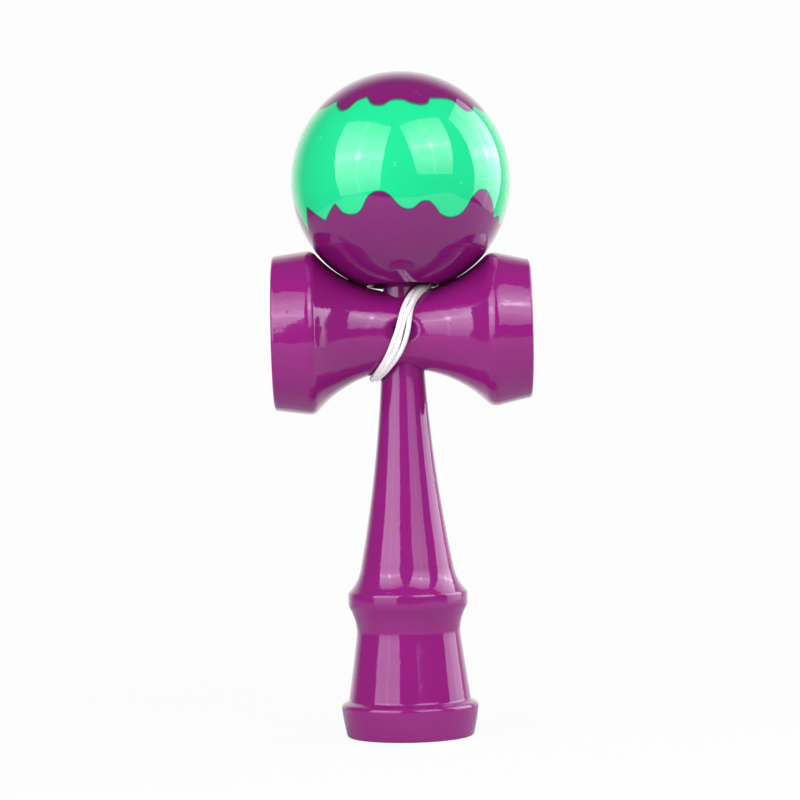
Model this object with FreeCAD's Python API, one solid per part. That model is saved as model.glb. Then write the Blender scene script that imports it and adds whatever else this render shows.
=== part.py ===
import FreeCAD, Part
import math
import os

from FreeCAD import Vector

# Kendama, in millimetres. +Z is up the handle's axis, and the base stands on z = 0.
# X runs along the cross piece, with the large cup at -X and the small cup at +X.
# The string hole faces -Y.

# Ball
ball_r = 30.0
ball_shift = 0.5
ball_tilt_deg = 4.5
ball_hole_r = 9.3
ball_hole_mouth_r = 10.2
ball_hole_depth = 39.4
drill_point_half_deg = 59.0
ball_lip_r = 1.6

# Cross piece
cross_z = 110.6
cross_length = 70.2
waist_r = 10.55
waist_shift = 0.5
saddle_play = 0.95
ball_seat_gap = 0.2
large_ridge_x = 23.85
large_rim_r = 21.05
large_cup_depth = 9.0
large_lip = 1.75
small_ridge_x = 24.05
small_rim_r = 18.8
small_cup_depth = 7.5
small_lip = 1.6
large_ridge_round = 2.8
small_ridge_round = 3.8
rim_round = 0.8
lip_round = 0.5
string_hole_r = 2.45
dish_sphere_r = 9.0
dish_depth = 1.06
bore_mouth_gap = 0.45
bore_mouth_depth = 2.2
cross_fit = 0.05

# Handle, from the base up
base_edge_r = 17.25
base_edge_round = 0.7
base_cup_r = 15.2
base_cup_depth = 7.0
base_lip_round = 0.4
flange_r = 18.8
flange_z = 8.7
flange_round = 1.1
ledge_r = 16.75
ledge_z = 10.2
foot_round = 0.4
neck_r = 14.15
neck_z = 28.9
neck_arc_r = 11.4
collar_r = 16.35
collar_low_z = 35.7
collar_top_z = 39.5
collar_round = 0.35
cove_r = 12.65
cove_z = 46.6
cove_sag = 0.6
stem_mid_r = 8.53
stem_mid_z = 72.0
taper_r = 6.0
taper_z = 98.9
spike_base_r = 5.05
spike_base_z = 122.0
spike_tip_r = 2.6
spike_tip_z = 155.5
shank_hole_r = 1.25
knot_pocket_r = 2.1
knot_pocket_depth = 3.3

# String
cord_d = 1.2
string_play = 0.35
winding_lift = 0.25
winding_space = 0.66
winding_steep_share = 0.17
winding_turns = 2
winding_start_deg = 100.0
winding_leave_deg = 241.6
winding_step_deg = 45
sweep_x = 6.55
sweep_third_x = 1.2
sweep_middle_x = -1.45
sweep_front_x = 1.65
exit_shift_x = 1.5
knot_r = 1.6
knot_length = 2.8
seam_gap = 0.02
# The string's free stretch, from the back of the cross piece up behind the ball.
# Its first and last points are worked out from the winding and from the ball's lip.
free_points = [
    (4.2, 16.2, 115.9),
    (3.7, 23.9, 129.4),
    (1.9, 30.0, 142.4),
    (0.8, 31.4, 154.0),
    (0.7, 28.4, 165.3),
    (0.5, 21.4, 174.5),
    (0.5, 11.3, 181.0),
]

# Bead
bead_r = 3.0
bead_hole_play = 0.2
bead_seat_gap = 0.3

overrun = 5.0

cord_r = cord_d / 2
half_length = cross_length / 2
flare_r = ball_r + saddle_play
seat_drop = math.sqrt((flare_r - ball_r - ball_seat_gap) ** 2 - (ball_shift - waist_shift) ** 2)
ball_z = cross_z + waist_r + flare_r - seat_drop
tilt = math.radians(ball_tilt_deg)
ball_centre = Vector(ball_shift, 0, ball_z)
ball_axis = Vector(0, math.sin(tilt), math.cos(tilt))
ball_back = Vector(0, math.cos(tilt), -math.sin(tilt))
winding_pitch = cord_d + winding_space
ball_string_hole_r = cord_r + string_play


def cross_radius(x):
    """Radius of the cross piece between its ridges, at a place along it."""
    return waist_r + flare_r - math.sqrt(flare_r**2 - (x - waist_shift) ** 2)


def handle_radius(z):
    """Radius of the handle's taper, where the cross piece and the ball sit."""
    share = (z - taper_z) / (spike_base_z - taper_z)
    return taper_r + (spike_base_r - taper_r) * share


def line(start, end):
    return Part.LineSegment(start, end).toShape()


def arc(start, middle, end):
    return Part.Arc(start, middle, end).toShape()


def cap_arc(axis_point, mouth_point):
    """Arc of a spherical cup, from its lowest point on the axis to its mouth, square to the axis there."""
    chord = mouth_point - axis_point
    depth, radius = abs(chord.z), abs(chord.x)
    sphere_r = (depth**2 + radius**2) / (2 * depth)
    half = math.asin(radius / sphere_r) / 2
    side = math.copysign(sphere_r * (1 - math.cos(half)), chord.z)
    middle = axis_point + Vector(sphere_r * math.sin(half), 0, side)
    return arc(axis_point, middle, mouth_point)


def turned(edges, axis):
    """Solid of revolution of a closed outline that touches the axis."""
    face = Part.Face(Part.Wire(edges))
    return face.revolve(Vector(0, 0, 0), axis, 360)


def round_ring(shape, axis, place, radius, size):
    """Rounds the circular edge of that radius that lies at a place along the axis."""
    close = size / 20
    rings = [
        e
        for e in shape.Edges
        if not e.Degenerated
        and isinstance(e.Curve, Part.Circle)
        and abs(e.Curve.Radius - radius) < close
        and abs(e.Curve.Center.dot(axis) - place) < close
    ]
    return shape.makeFillet(size, rings)


def save(shape, node):
    shape.exportStep("parts/" + node + ".step")
    print(node, "volume", round(shape.Volume, 2), "valid", shape.isValid(), "solids", len(shape.Solids))


def make_handle():
    """Base cup, flange, neck, collar, stem and spike, turned from one piece."""
    cup_bottom = Vector(0, 0, base_cup_depth)
    cup_mouth = Vector(base_cup_r, 0, 0)
    base_edge = Vector(base_edge_r, 0, 0)
    flange_edge = Vector(flange_r, 0, flange_z)
    ledge_foot = Vector(ledge_r, 0, ledge_z)
    neck = Vector(neck_r, 0, neck_z)
    collar_low = Vector(collar_r, 0, collar_low_z)
    collar_top = Vector(collar_r, 0, collar_top_z)
    cove = Vector(cove_r, 0, cove_z)
    stem_top = Vector(taper_r, 0, taper_z)
    spike_base = Vector(spike_base_r, 0, spike_base_z)
    tip_ring = Vector(spike_tip_r, 0, spike_tip_z - spike_tip_r)
    tip = Vector(0, 0, spike_tip_z)

    rise = (neck + collar_low) / 2
    chord = collar_low - neck
    sag = neck_arc_r - math.sqrt(neck_arc_r**2 - (chord.Length / 2) ** 2)
    inward = Vector(-chord.z, 0, chord.x).normalize()
    neck_middle = rise + inward * sag
    across = cove - collar_top
    cove_middle = (collar_top + cove) / 2 + Vector(across.z, 0, -across.x).normalize() * cove_sag
    half = math.sin(math.radians(45))
    tip_middle = Vector(spike_tip_r * half, 0, spike_tip_z - spike_tip_r * (1 - half))

    edges = [
        cap_arc(cup_bottom, cup_mouth),
        line(cup_mouth, base_edge),
        line(base_edge, flange_edge),
        line(flange_edge, ledge_foot),
        line(ledge_foot, neck),
        arc(neck, neck_middle, collar_low),
        line(collar_low, collar_top),
        arc(collar_top, cove_middle, cove),
        arc(cove, Vector(stem_mid_r, 0, stem_mid_z), stem_top),
        line(stem_top, spike_base),
        line(spike_base, tip_ring),
        arc(tip_ring, tip_middle, tip),
        line(tip, cup_bottom),
    ]
    up = Vector(0, 0, 1)
    handle = turned(edges, up)
    handle = round_ring(handle, up, 0, base_cup_r, base_lip_round)
    handle = round_ring(handle, up, 0, base_edge_r, base_edge_round)
    handle = round_ring(handle, up, flange_z, flange_r, flange_round)
    handle = round_ring(handle, up, ledge_z, ledge_r, foot_round)
    handle = round_ring(handle, up, collar_low_z, collar_r, collar_round)
    handle = round_ring(handle, up, collar_top_z, collar_r, collar_round)

    shank_r = handle_radius(cross_z)
    reach = shank_r + overrun
    string_hole = Part.makeCylinder(shank_hole_r, 2 * reach, Vector(0, -reach, cross_z), Vector(0, 1, 0))
    pocket_y = shank_r - knot_pocket_depth
    pocket = Part.makeCylinder(knot_pocket_r, reach - pocket_y, Vector(0, pocket_y, cross_z), Vector(0, 1, 0))
    return handle.cut(string_hole).cut(pocket)


def make_cross_piece():
    """Two cups on a waisted bar, with the handle's taper bore and the string hole."""
    large_ridge = Vector(-large_ridge_x, 0, cross_radius(-large_ridge_x))
    small_ridge = Vector(small_ridge_x, 0, cross_radius(small_ridge_x))
    waist = Vector(waist_shift, 0, waist_r)
    large_rim = Vector(-half_length, 0, large_rim_r)
    small_rim = Vector(half_length, 0, small_rim_r)
    large_mouth_r = large_rim_r - large_lip
    small_mouth_r = small_rim_r - small_lip
    large_mouth = Vector(-half_length, 0, large_mouth_r)
    small_mouth = Vector(half_length, 0, small_mouth_r)
    large_bottom = Vector(-half_length + large_cup_depth, 0, 0)
    small_bottom = Vector(half_length - small_cup_depth, 0, 0)

    edges = [
        cup_side(large_bottom, large_mouth),
        line(large_mouth, large_rim),
        line(large_rim, large_ridge),
        arc(large_ridge, waist, small_ridge),
        line(small_ridge, small_rim),
        line(small_rim, small_mouth),
        cup_side(small_bottom, small_mouth),
        line(small_bottom, large_bottom),
    ]
    along = Vector(1, 0, 0)
    cross = turned(edges, along)
    cross = round_ring(cross, along, -large_ridge_x, large_ridge.z, large_ridge_round)
    cross = round_ring(cross, along, small_ridge_x, small_ridge.z, small_ridge_round)
    cross = round_ring(cross, along, -half_length, large_rim_r, rim_round)
    cross = round_ring(cross, along, half_length, small_rim_r, rim_round)
    cross = round_ring(cross, along, -half_length, large_mouth_r, lip_round)
    cross = round_ring(cross, along, half_length, small_mouth_r, lip_round)
    cross.translate(Vector(0, 0, cross_z))

    bore_low = cross_z - waist_r - overrun
    bore_top = cross_z + waist_r + overrun
    bore = Part.makeCone(
        handle_radius(bore_low) + cross_fit,
        handle_radius(bore_top) + cross_fit,
        bore_top - bore_low,
        Vector(0, 0, bore_low),
    )
    mouth_z = cross_z + waist_r - bore_mouth_depth
    mouth_r = handle_radius(mouth_z) + bore_mouth_gap
    bore_mouth = Part.makeCylinder(mouth_r, bore_mouth_depth + overrun, Vector(0, 0, mouth_z))
    dish_y = -(waist_r - dish_depth + dish_sphere_r)
    dish = Part.makeSphere(dish_sphere_r, Vector(0, dish_y, cross_z))
    hole = Part.makeCylinder(string_hole_r, waist_r + overrun, Vector(0, 0, cross_z), Vector(0, -1, 0))
    return cross.cut(bore).cut(bore_mouth).cut(dish).cut(hole)


def cup_side(axis_point, mouth_point):
    """Arc of a cup that opens along X, from its lowest point to its mouth."""
    depth, radius = axis_point.x - mouth_point.x, mouth_point.z
    sphere_r = (depth**2 + radius**2) / (2 * abs(depth))
    half = math.asin(radius / sphere_r) / 2
    side = math.copysign(sphere_r * (1 - math.cos(half)), depth)
    middle = axis_point + Vector(-side, 0, sphere_r * math.sin(half))
    return arc(axis_point, middle, mouth_point)


def make_ball():
    """Ball with its wide spike hole below and the narrow, rounded string hole above."""
    mouth_z = -math.sqrt(ball_r**2 - ball_hole_mouth_r**2)
    bevel = ball_hole_mouth_r - ball_hole_r
    below = Vector(0, 0, -ball_r - overrun)
    mouth_reach = mouth_z - below.z
    drill = math.tan(math.radians(drill_point_half_deg))
    hole_top = ball_hole_depth - ball_r
    cone_top = hole_top + (ball_hole_r - ball_string_hole_r) / drill
    lip_x = ball_string_hole_r + ball_lip_r
    lip_z = math.sqrt((ball_r - ball_lip_r) ** 2 - lip_x**2)
    lip_turn = math.atan2(lip_x, lip_z)
    lip_centre = Vector(lip_x, 0, lip_z)
    lip_low = Vector(ball_string_hole_r, 0, lip_z)
    lip_out = lip_centre + Vector(math.sin(lip_turn), 0, math.cos(lip_turn)) * ball_lip_r
    half = (math.pi / 2 - lip_turn) / 2 + lip_turn
    lip_middle = lip_centre + Vector(-math.cos(half - lip_turn), 0, math.sin(half - lip_turn)) * ball_lip_r
    above = ball_r + overrun
    outline = [
        line(below, Vector(ball_hole_mouth_r + mouth_reach, 0, below.z)),
        line(Vector(ball_hole_mouth_r + mouth_reach, 0, below.z), Vector(ball_hole_r, 0, mouth_z + bevel)),
        line(Vector(ball_hole_r, 0, mouth_z + bevel), Vector(ball_hole_r, 0, hole_top)),
        line(Vector(ball_hole_r, 0, hole_top), Vector(ball_string_hole_r, 0, cone_top)),
        line(Vector(ball_string_hole_r, 0, cone_top), lip_low),
        arc(lip_low, lip_middle, lip_out),
        line(lip_out, Vector(lip_out.x, 0, above)),
        line(Vector(lip_out.x, 0, above), Vector(0, 0, above)),
        line(Vector(0, 0, above), below),
    ]
    ball = Part.makeSphere(ball_r).cut(turned(outline, Vector(0, 0, 1)))
    return on_ball_axis(ball)


def on_ball_axis(shape):
    """Puts a shape that was made round Z, about the ball's centre, onto the tilted ball's axis."""
    shape.rotate(Vector(0, 0, 0), Vector(-1, 0, 0), ball_tilt_deg)
    shape.translate(ball_centre)
    return shape


def bead_centre_height():
    """Height of the bead's centre above the ball's centre, on the ball's axis, just under the drilled cone."""
    half = math.radians(drill_point_half_deg)
    apex = ball_hole_depth - ball_r + ball_hole_r / math.tan(half)
    return apex - (bead_r + bead_seat_gap) / math.sin(half)


def make_bead():
    """Wooden bead that stops the string in the ball."""
    centre = Vector(0, 0, bead_centre_height())
    hole = Part.makeCylinder(cord_r + bead_hole_play, 2 * bead_r, centre - Vector(0, 0, bead_r))
    return on_ball_axis(Part.makeSphere(bead_r, centre).cut(hole))


def make_knot(centre, way, tail):
    """Knot as a rounded barrel, turned together with the straight tail of string that leads into it."""
    half = knot_length / 2
    slant = math.sqrt(0.5)
    neck = half * math.sqrt(1 - (cord_r / knot_r) ** 2)
    tail_axis = Vector(0, 0, -tail)
    tail_edge = Vector(cord_r, 0, -tail)
    knot_start = Vector(cord_r, 0, -neck)
    widest = Vector(knot_r, 0, 0)
    knot_end = Vector(cord_r, 0, neck)
    end_axis = Vector(0, 0, neck)
    edges = [
        line(tail_axis, tail_edge),
        line(tail_edge, knot_start),
        arc(knot_start, Vector(knot_r * slant, 0, -half * slant), widest),
        arc(widest, Vector(knot_r * slant, 0, half * slant), knot_end),
        line(knot_end, end_axis),
        line(end_axis, tail_axis),
    ]
    knot = turned(edges, Vector(0, 0, 1))
    knot.Placement = FreeCAD.Placement(centre, FreeCAD.Rotation(Vector(0, 0, 1), way))
    return knot


def arc_from(start, direction, end):
    """Arc, or a line where it would be flat, from a point along a direction to another point."""
    chord = end - start
    half_turn = direction.getAngle(chord)
    if half_turn < 1e-4:
        return line(start, end)
    side = (chord.normalize() * chord.dot(direction) - direction).normalize()
    sag = (end - start).Length / 2 * math.tan(half_turn / 2)
    return arc(start, (start + end) / 2 - side * sag, end)


def biarc(start, start_way, end, end_way):
    """Two arcs that leave one point along a direction and reach another along a second direction."""
    gap = end - start
    both = start_way + end_way
    spread = 2 * (1 - start_way.dot(end_way))
    if spread < 1e-9:
        reach = gap.dot(gap) / (4 * gap.dot(end_way))
    else:
        reach = (math.sqrt(gap.dot(both) ** 2 + spread * gap.dot(gap)) - gap.dot(both)) / spread
    middle = (start + end) / 2 + (start_way - end_way) * (reach / 2)
    way = (end - end_way * reach - start - start_way * reach).normalize()
    return [arc_from(start, start_way, middle), arc_from(middle, way, end)]


def winding_point(angle):
    """Point of the winding. The angle, in degrees, is 0 over the cross piece, 90 in front and 180 below."""
    turn = math.radians(angle)
    sway = sweep_x * math.cos(turn) + sweep_third_x * math.cos(3 * turn)
    front = sweep_front_x * math.sin(turn) ** 2
    pitch = winding_pitch * (1 + winding_steep_share * math.sin(2 * turn) ** 2)
    x = sweep_middle_x + sway + front + pitch * (angle - 450) / 360
    radius = cross_radius(x) + cord_r + winding_lift
    return Vector(x, -radius * math.sin(turn), cross_z + radius * math.cos(turn))


def winding_way(angle):
    step = 0.01
    return (winding_point(angle + step) - winding_point(angle - step)).normalize()


def winding_exit():
    """From the handle's string hole to the bottom of the dish, beside the turns that pass over it."""
    inner = Vector(0, -handle_radius(cross_z) - seam_gap * 1.5, cross_z)
    outward = Vector(0, -1, 0)
    hole_end = inner + outward * cord_d
    beside = Vector(-exit_shift_x, dish_depth - waist_r, cross_z)
    down = winding_point(winding_start_deg)
    edges = [line(inner, hole_end)] + biarc(hole_end, outward, beside, outward)
    return edges + biarc(beside, outward, down, winding_way(winding_start_deg))


def winding_path():
    """Round the waist of the cross piece, to the back."""
    edges = []
    point, way = winding_point(winding_start_deg), winding_way(winding_start_deg)
    leave = 360 * winding_turns + winding_leave_deg
    for angle in range(3 * winding_step_deg, int(leave), winding_step_deg):
        edges += biarc(point, way, winding_point(angle), winding_way(angle))
        point, way = winding_point(angle), winding_way(angle)
    end, end_way = winding_end()
    edges += biarc(point, way, end - end_way * cord_d, end_way)
    edges.append(line(end - end_way * cord_d, end))
    return edges


def winding_end():
    """Where the string leaves the winding, and which way, at the back of the cross piece."""
    leave = 360 * winding_turns + winding_leave_deg
    end = winding_point(leave)
    return end, (Vector(*free_points[0]) - end).normalize()


def lip_end():
    """Point behind the ball's upper hole where the string leaves the hole's rounded lip."""
    lip_x = ball_string_hole_r + ball_lip_r
    turn = math.asin(lip_x / (ball_r - ball_lip_r))
    reach = ball_r + string_play + cord_r
    return ball_centre + (ball_axis * math.cos(turn) + ball_back * math.sin(turn)) * reach


def free_path():
    """Straight runs joined by tangent arcs, from the winding up behind the ball to the lip of its upper hole."""
    points = [winding_end()[0]] + [Vector(*p) for p in free_points] + [lip_end()]
    edges, place, radii = [], points[0], []
    for before, corner, after in zip(points, points[1:], points[2:]):
        run_in, run_out = corner - before, after - corner
        half_turn = run_in.getAngle(run_out) / 2
        reach = 0.45 * min(run_in.Length, run_out.Length)
        radii.append(reach / math.tan(half_turn))
        start = corner - run_in.normalize() * reach
        end = corner + run_out.normalize() * reach
        edges.append(line(place, start))
        edges.append(arc_from(start, run_in, end))
        place = end
    edges.append(line(place, points[-1]))
    print("free stretch radii", [round(r, 1) for r in radii])
    return edges


def hole_top():
    """Where the ball's upper hole becomes straight, on the ball's axis."""
    lip_x = ball_string_hole_r + ball_lip_r
    return ball_centre + ball_axis * math.sqrt((ball_r - ball_lip_r) ** 2 - lip_x**2)


def lip_path():
    """Over the lip of the ball's upper hole, to where the hole is straight."""
    start = lip_end()
    start_way = (start - Vector(*free_points[-1])).normalize()
    down = ball_axis * -1
    return biarc(start, start_way, hole_top() + ball_axis * cord_d, down) + [
        line(hole_top() + ball_axis * cord_d, hole_top())
    ]


def path_points(edges, step):
    points = []
    for edge in edges:
        count = max(2, int(edge.Length / step) + 1)
        points += edge.discretize(count)[:-1]
    return points + [edges[-1].Vertexes[-1].Point]


def tube(name, edges):
    """Round tube along a path, with its volume set against section times length."""
    path = Part.Wire(edges)
    way = edges[0].tangentAt(edges[0].FirstParameter)
    profile = Part.Wire(Part.makeCircle(cord_r, edges[0].valueAt(edges[0].FirstParameter), way))
    sweep = Part.BRepOffsetAPI.MakePipeShell(path)
    sweep.add(profile)
    sweep.build()
    sweep.makeSolid()
    solid = sweep.shape()
    expected = math.pi * cord_r**2 * path.Length
    print(name, "length", round(path.Length, 1), "volume share", round(solid.Volume / expected, 4))
    return solid


def print_winding_gaps(way_out, turns):
    """Least gap from the winding to itself, least and largest gap to the cross piece, and the tightest arc."""
    step = cord_d / 4
    edges = way_out + turns
    points = path_points(edges, step)
    apart = int(4 * cord_d / step)
    least = min(p.distanceToPoint(q) for i, p in enumerate(points) for q in points[i + apart :])
    on_cross = path_points(turns, step)
    gaps = [math.hypot(p.y, p.z - cross_z) - cord_r - cross_radius(p.x) for p in on_cross]
    radii = [e.Curve.Radius for e in edges if isinstance(e.Curve, Part.Circle)]
    print("winding gap to itself", round(least - cord_d, 3), "to cross piece", round(min(gaps), 3), round(max(gaps), 3))
    print("winding tightest arc", round(min(radii), 2))


def make_winding():
    way_out, turns = winding_exit(), winding_path()
    print_winding_gaps(way_out, turns)
    return tube("string_winding", way_out + turns)


def make_anchor():
    """The string's end in the handle: a stub through the shank and the knot in its pocket."""
    shank_r = handle_radius(cross_z)
    knot_y = shank_r - knot_pocket_depth + knot_length / 2 + seam_gap
    tail = knot_y + shank_r + seam_gap / 2
    return make_knot(Vector(0, knot_y, cross_z), Vector(0, 1, 0), tail)


def make_ball_end():
    """The string's end in the ball, down the upper hole and through the bead to the knot."""
    knot_at = ball_centre + ball_axis * (bead_centre_height() - bead_r - knot_length / 2)
    tail = (hole_top() - knot_at).Length
    knot = make_knot(knot_at, ball_axis * -1, tail)
    return tube("string_ball_end", lip_path()).fuse(knot)


os.makedirs("parts", exist_ok=True)
print("ball centre height", round(ball_z, 3), "ball top", round(ball_z + ball_r, 3))
save(make_handle(), "handle")
save(make_cross_piece(), "cross_piece")
save(make_ball(), "ball")
save(make_bead(), "bead")
save(make_winding(), "string_winding")
save(tube("string_free", free_path()), "string_free")
save(make_ball_end(), "string_ball_end")
save(make_anchor(), "string_anchor")
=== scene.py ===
import math

import bpy
from mathutils import Matrix, Vector


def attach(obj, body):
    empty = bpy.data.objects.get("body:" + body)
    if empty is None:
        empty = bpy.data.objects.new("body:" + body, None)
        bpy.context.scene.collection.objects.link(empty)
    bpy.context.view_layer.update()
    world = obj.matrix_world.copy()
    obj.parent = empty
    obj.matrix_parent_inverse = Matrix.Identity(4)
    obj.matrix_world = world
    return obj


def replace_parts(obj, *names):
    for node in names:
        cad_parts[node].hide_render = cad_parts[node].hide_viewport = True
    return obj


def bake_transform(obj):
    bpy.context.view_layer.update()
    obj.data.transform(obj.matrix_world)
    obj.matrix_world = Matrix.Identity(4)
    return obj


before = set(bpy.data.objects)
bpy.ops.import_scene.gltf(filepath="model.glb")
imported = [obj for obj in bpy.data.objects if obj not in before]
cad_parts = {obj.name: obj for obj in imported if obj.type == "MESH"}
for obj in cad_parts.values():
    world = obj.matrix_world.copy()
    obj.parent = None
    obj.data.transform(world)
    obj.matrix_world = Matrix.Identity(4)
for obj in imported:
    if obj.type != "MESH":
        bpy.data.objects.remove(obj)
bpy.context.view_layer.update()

MM = 0.001

# Sizes in millimetres, in the frame of the part

BALL_R = 30.0
BALL_X = 0.5
BALL_Z = 151.35
BALL_TILT = math.radians(4.5)
BALL_HOLE_R = 9.3
BALL_HOLE_TOP = 9.4
BALL_MOUTH_R = 9.6
BALL_MOUTH_DEPTH = 0.9
BALL_STRING_HOLE_R = 0.95
BALL_LIP_R = 1.6
DRILL_POINT = math.radians(59)
# How much fuller the ball is low down, and the degrees below its middle where that starts and is reached
BALL_SWELL = 0.40
SWELL_START, SWELL_FULL = 14.0, 50.0

# The turned cross piece and the string's turns lie round WAIST_Z, its holes and its dish round CROSS_Z
CROSS_Z = 110.6
WAIST_Z = 110.52
HALF_CROSS = 35.1
LARGE_CUP_DEPTH = 9.0
SMALL_CUP_DEPTH = 7.5
RIDGES = (-24.15, 24.2)
WAIST_R = 10.55
WAIST_SHIFT = 0.5
FLARE_R = 31.3
DISH_DEPTH = 1.45
DISH_SPHERE_R = 6.5
DISH_CENTRE = (0, -(WAIST_R - DISH_DEPTH + DISH_SPHERE_R), CROSS_Z)
CROSS_HOLE_R = 2.45
BORE_PLAY = 0.05
BORE_MOUTH_PLAY = 0.45
BORE_MOUTH_DEPTH = 2.2

# Radius and height at both ends of the handle's taper
TAPER_LOW = (6.0, 98.9)
TAPER_HIGH = (5.05, 122.0)
SHANK_HOLE_R = 1.25
KNOT_SEAT_R = 2.1
KNOT_SEAT_DEPTH = 3.3

CORD_D = 1.4
CORD_R = CORD_D / 2

# Steps round the turned pieces, the ball, the holes and the dish, and along an eased corner
TURN_STEPS = 192
BALL_STEPS = 224
HOLE_STEPS = 96
DISH_STEPS = 128
EASE_STEPS = 8
# Points of an outline that lie closer than this become one
LEAST_RUN = 0.004
SMOOTH_BELOW = math.radians(35)


# Camera

# The frame's width and centre are those in the upright plane through the part's axis
CAMERA_DISTANCE = 814.0
CAMERA_HEIGHT = 100.0
FRAME_WIDTH = 218.4
FRAME_CENTRE = (-0.97, 91.7)
CAMERA_ROLL = math.radians(1.26)
SENSOR_WIDTH = 36.0
CLIP_METRES = (0.01, 20.0)


def add_camera():
    """A level view from the front, with the photograph's slight roll."""
    data = bpy.data.cameras.new("camera")
    data.sensor_width = SENSOR_WIDTH
    data.lens = data.sensor_width * CAMERA_DISTANCE / FRAME_WIDTH
    data.clip_start, data.clip_end = CLIP_METRES
    camera = bpy.data.objects.new("camera", data)
    bpy.context.scene.collection.objects.link(camera)
    place = Vector((FRAME_CENTRE[0], -CAMERA_DISTANCE, CAMERA_HEIGHT)) * MM
    aim = Vector((FRAME_CENTRE[0], 0.0, FRAME_CENTRE[1])) * MM
    turn = (aim - place).to_track_quat("-Z", "Y").to_matrix()
    roll = Matrix.Rotation(-CAMERA_ROLL, 3, "Z")
    camera.matrix_world = Matrix.Translation(place) @ (turn @ roll).to_4x4()
    bpy.context.scene.camera = camera


add_camera()


# Shaping


def deselect():
    """Leaves nothing selected."""
    bpy.ops.object.select_all(action="DESELECT")


def alone(piece):
    """Makes a piece the only one selected."""
    deselect()
    piece.select_set(True)
    bpy.context.view_layer.objects.active = piece


def arc(start, through, end, steps):
    """Points of the circle's arc from start, through a point, to end, in the plane."""
    (ax, ay), (bx, by), (cx, cy) = start, through, end
    d = 2 * (ax * (by - cy) + bx * (cy - ay) + cx * (ay - by))
    a2, b2, c2 = ax * ax + ay * ay, bx * bx + by * by, cx * cx + cy * cy
    ux = (a2 * (by - cy) + b2 * (cy - ay) + c2 * (ay - by)) / d
    uy = (a2 * (cx - bx) + b2 * (ax - cx) + c2 * (bx - ax)) / d
    radius = math.hypot(ax - ux, ay - uy)
    first, mid, last = (math.atan2(y - uy, x - ux) for x, y in (start, through, end))
    sweep = (last - first) % math.tau
    if (mid - first) % math.tau > sweep:
        sweep -= math.tau
    angles = [first + sweep * i / steps for i in range(steps + 1)]
    return [(ux + radius * math.cos(t), uy + radius * math.sin(t)) for t in angles]


def drawn_curve(start, pull, end, steps):
    """Points of a curve from start to end, drawn towards a third point."""
    shares = [i / steps for i in range(steps + 1)]
    weights = [((1 - t) ** 2, 2 * t * (1 - t), t * t) for t in shares]
    return [tuple(a * s + b * p + c * e for s, p, e in zip(start, pull, end)) for a, b, c in weights]


def soften(points, corners):
    """An outline with its corners eased. Each corner is a point of it and how far the easing reaches."""
    for corner, reach in corners:
        at = min(range(len(points)), key=lambda i: math.dist(points[i], corner))
        before, after = walk(points, at, -1, reach), walk(points, at, 1, reach)
        eased = drawn_curve(before[1], points[at], after[1], EASE_STEPS)
        points = points[: before[0]] + eased + points[after[0] :]
    return points


def walk(points, at, way, reach):
    """Where the outline goes on after a distance from one of its points, and the place that far along."""
    here = at
    while True:
        there = here + way
        run = math.dist(points[here], points[there])
        if run >= reach:
            share = reach / run
            place = tuple(a + (b - a) * share for a, b in zip(points[here], points[there]))
            return (there + 1 if way < 0 else there), place
        reach -= run
        here = there


def thin_out(points):
    """The outline without points that lie on top of each other."""
    kept = [points[0]]
    for point in points[1:]:
        if math.dist(point, kept[-1]) > LEAST_RUN:
            kept.append(point)
    return kept


def turned(name, outline, steps=TURN_STEPS):
    """A piece turned round Z from an outline of radii and heights."""
    deselect()
    bpy.ops.mesh.primitive_plane_add(size=MM, location=(0, 0, 0))
    piece = bpy.context.object
    piece.name = piece.data.name = name
    bpy.ops.object.mode_set(mode="EDIT")
    bpy.ops.mesh.select_all(action="SELECT")
    bpy.ops.mesh.merge(type="CENTER")
    points = [Vector((r, 0, z)) * MM for r, z in thin_out(outline)]
    bpy.ops.transform.translate(value=points[0])
    for before, after in zip(points, points[1:]):
        bpy.ops.mesh.extrude_region_move(TRANSFORM_OT_translate={"value": after - before})
    bpy.ops.mesh.select_all(action="SELECT")
    bpy.ops.mesh.spin(steps=steps, angle=math.tau, center=(0, 0, 0), axis=(0, 0, 1))
    bpy.ops.mesh.select_all(action="SELECT")
    bpy.ops.mesh.remove_doubles(threshold=0.001 * MM)
    bpy.ops.mesh.normals_make_consistent(inside=False)
    bpy.ops.object.mode_set(mode="OBJECT")
    return piece


def put(piece, move=(0, 0, 0), turn=0.0, axis="X"):
    """Turns a piece about the origin, moves it in millimetres, and fixes that in its mesh."""
    piece.data.transform(Matrix.Translation(Vector(move) * MM) @ Matrix.Rotation(turn, 4, axis))
    return piece


def cut(piece, cutter):
    """Cuts one piece with another, which is used up."""
    modifier = piece.modifiers.new("cut", "BOOLEAN")
    modifier.operation = "DIFFERENCE"
    modifier.solver = "EXACT"
    modifier.object = cutter
    alone(piece)
    bpy.ops.object.modifier_apply(modifier=modifier.name)
    bpy.data.objects.remove(cutter)


def smooth(piece):
    """Shades a piece smooth, but for its sharp edges."""
    alone(piece)
    bpy.ops.object.shade_smooth_by_angle(angle=SMOOTH_BELOW)
    return piece


def drill(radius, start, end, axis, high_radius=None):
    """A round cutter along Z or along -Y, between two places on its axis."""
    deselect()
    length = abs(end - start)
    bpy.ops.mesh.primitive_cone_add(
        vertices=HOLE_STEPS,
        radius1=radius * MM,
        radius2=(high_radius or radius) * MM,
        depth=length * MM,
        location=(0, 0, 0),
    )
    cutter = bpy.context.object
    middle = (start + end) / 2
    if axis == "Z":
        return put(cutter, (0, 0, middle))
    return put(cutter, (0, middle, CROSS_Z), math.radians(90))


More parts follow.
